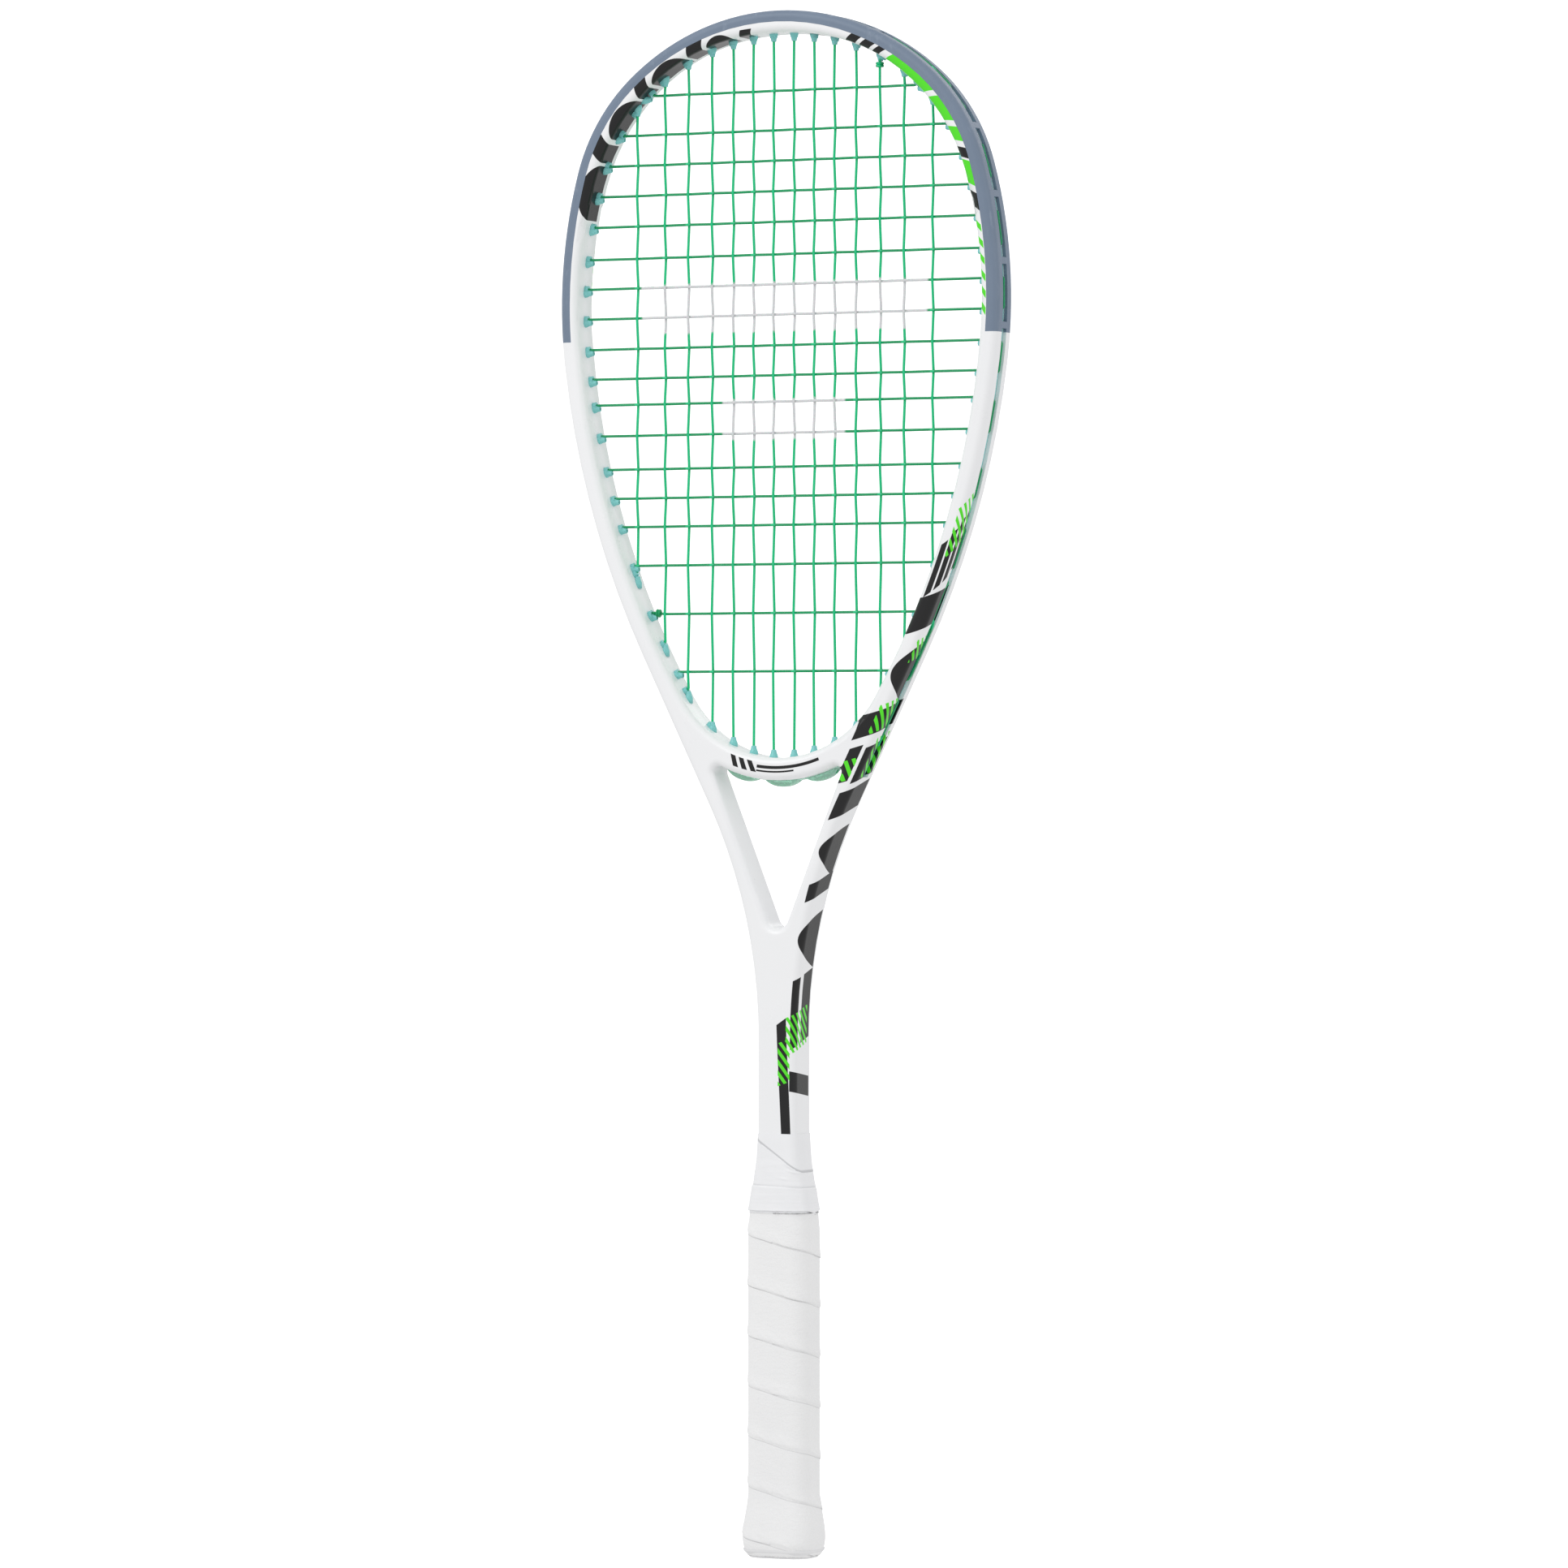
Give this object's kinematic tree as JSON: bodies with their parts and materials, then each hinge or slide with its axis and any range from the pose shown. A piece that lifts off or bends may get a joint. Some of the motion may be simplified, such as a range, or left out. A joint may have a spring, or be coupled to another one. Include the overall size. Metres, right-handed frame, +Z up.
{
  "type": "squash racket",
  "caption": "Squash racket with an oval strung head, open throat bridge, slim shaft, wrapped handle with a flared butt, head bumper and grommet strips.",
  "frame": {"origin": "centre of the flat butt end", "axes": "+Z up the handle to the head, X across the head, the string bed in the XZ plane, front facing -Y"},
  "size_m": [0.214, 0.028, 0.686],
  "materials": {
    "frame_paint": "white gloss lacquer on a carbon fibre laminate",
    "bumper_plastic": "satin blue-grey nylon",
    "grommet_plastic": "clear nylon with a green tint",
    "string_polymer": "green coated multifilament",
    "handle_foam": "moulded polyurethane foam",
    "cap_plastic": "white moulded plastic",
    "staple_steel": "plated steel wire",
    "grip_polymer": "white perforated polyurethane grip tape",
    "tape_vinyl": "white stretch vinyl tape"
  },
  "bodies": {
    "root": {"frame": "frame_paint", "bumper_guard": "bumper_plastic", "head_grommet_strip": "grommet_plastic", "left_grommet_strip": "grommet_plastic", "right_grommet_strip": "grommet_plastic", "throat_grommet_strip": "grommet_plastic", "string": "string_polymer", "tie_off_knots": "string_polymer", "handle_pallet": "handle_foam", "butt_cap": "cap_plastic", "butt_cap_staples": "staple_steel", "grip_wrap": "grip_polymer", "finishing_tape": "tape_vinyl", "shaft_plug": "handle_foam"}
  },
  "joints": []
}
